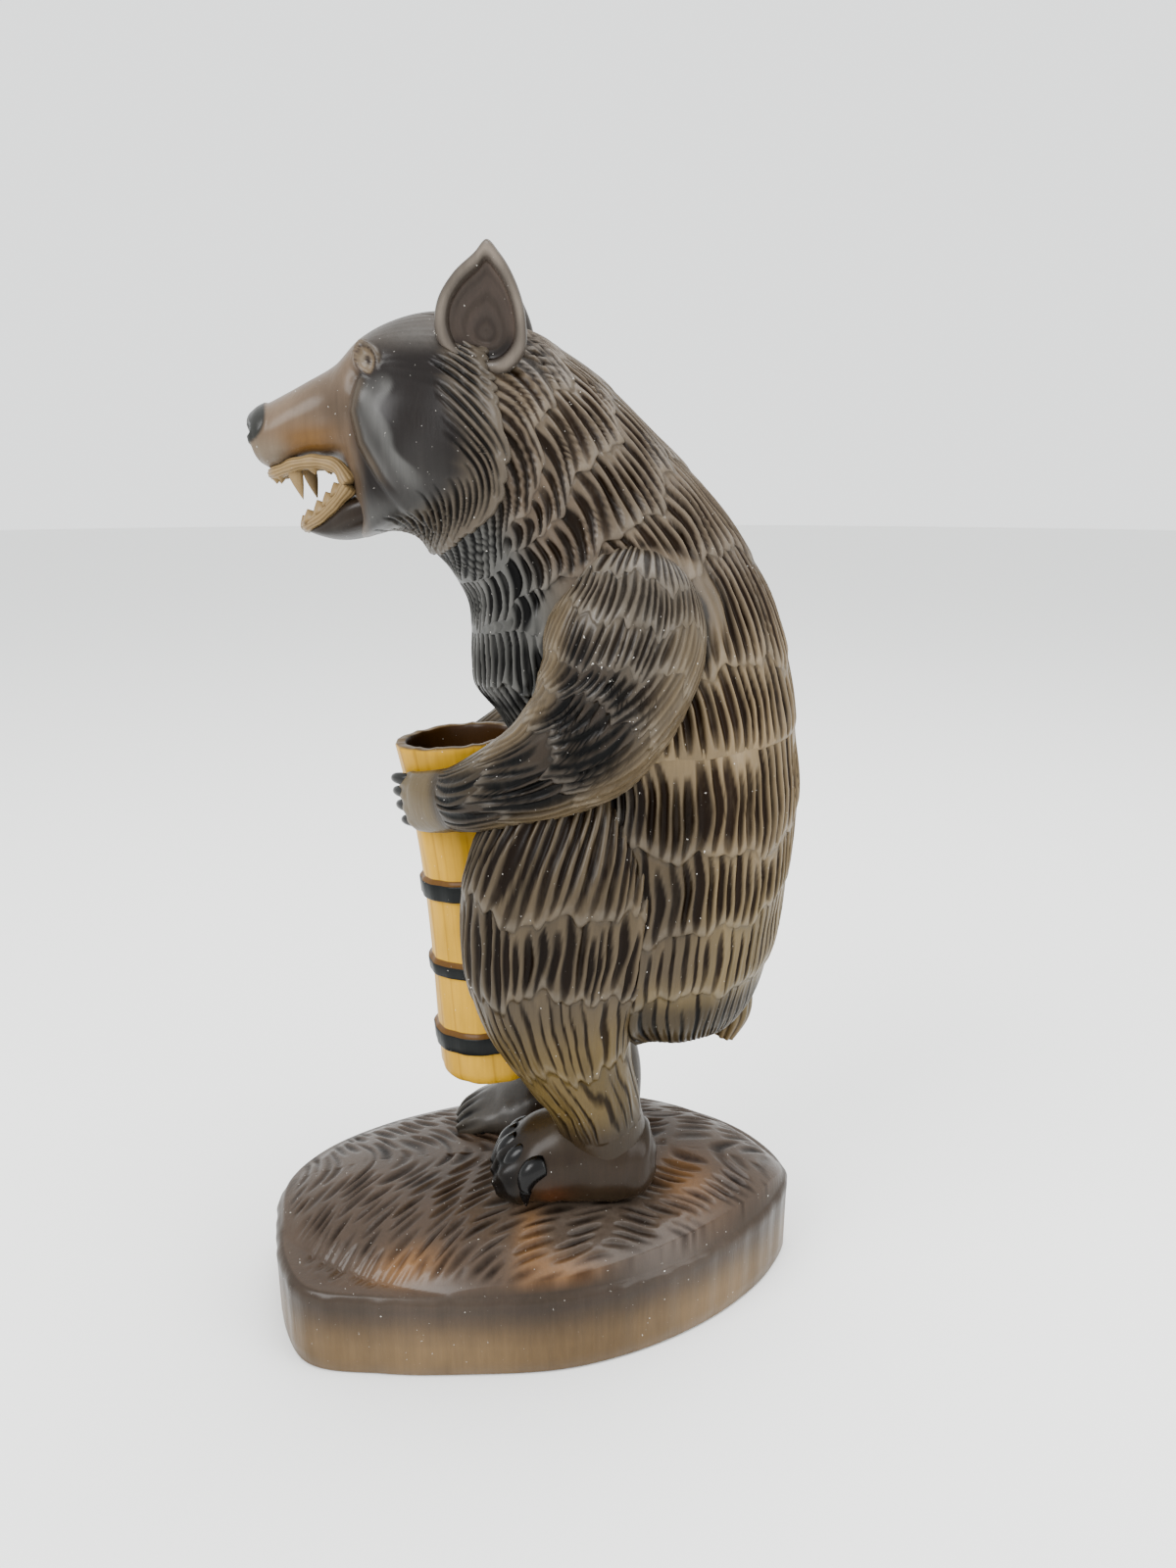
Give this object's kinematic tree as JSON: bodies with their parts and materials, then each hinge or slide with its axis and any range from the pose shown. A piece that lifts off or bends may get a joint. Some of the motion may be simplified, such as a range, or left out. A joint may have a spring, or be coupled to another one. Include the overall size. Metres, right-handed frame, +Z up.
{
  "type": "carved bear figurine",
  "caption": "Wooden bear carved from one block, upright on an oval plinth, mouth open, holding a tall hooped barrel, hollow as a pencil pot",
  "frame": {"origin": "centre of the plinth's flat underside", "axes": "+Z up; the bear faces -Y; its left side is +X"},
  "size_m": [0.1073, 0.1609, 0.2955],
  "materials": {
    "stained_wood": "stained dark brown and varnished, semi-gloss",
    "barrel_wood": "yellow ochre stain and varnish with black hoops, semi-gloss"
  },
  "bodies": {
    "root": {"carved_bear": "stained_wood", "barrel": "barrel_wood"}
  },
  "joints": []
}
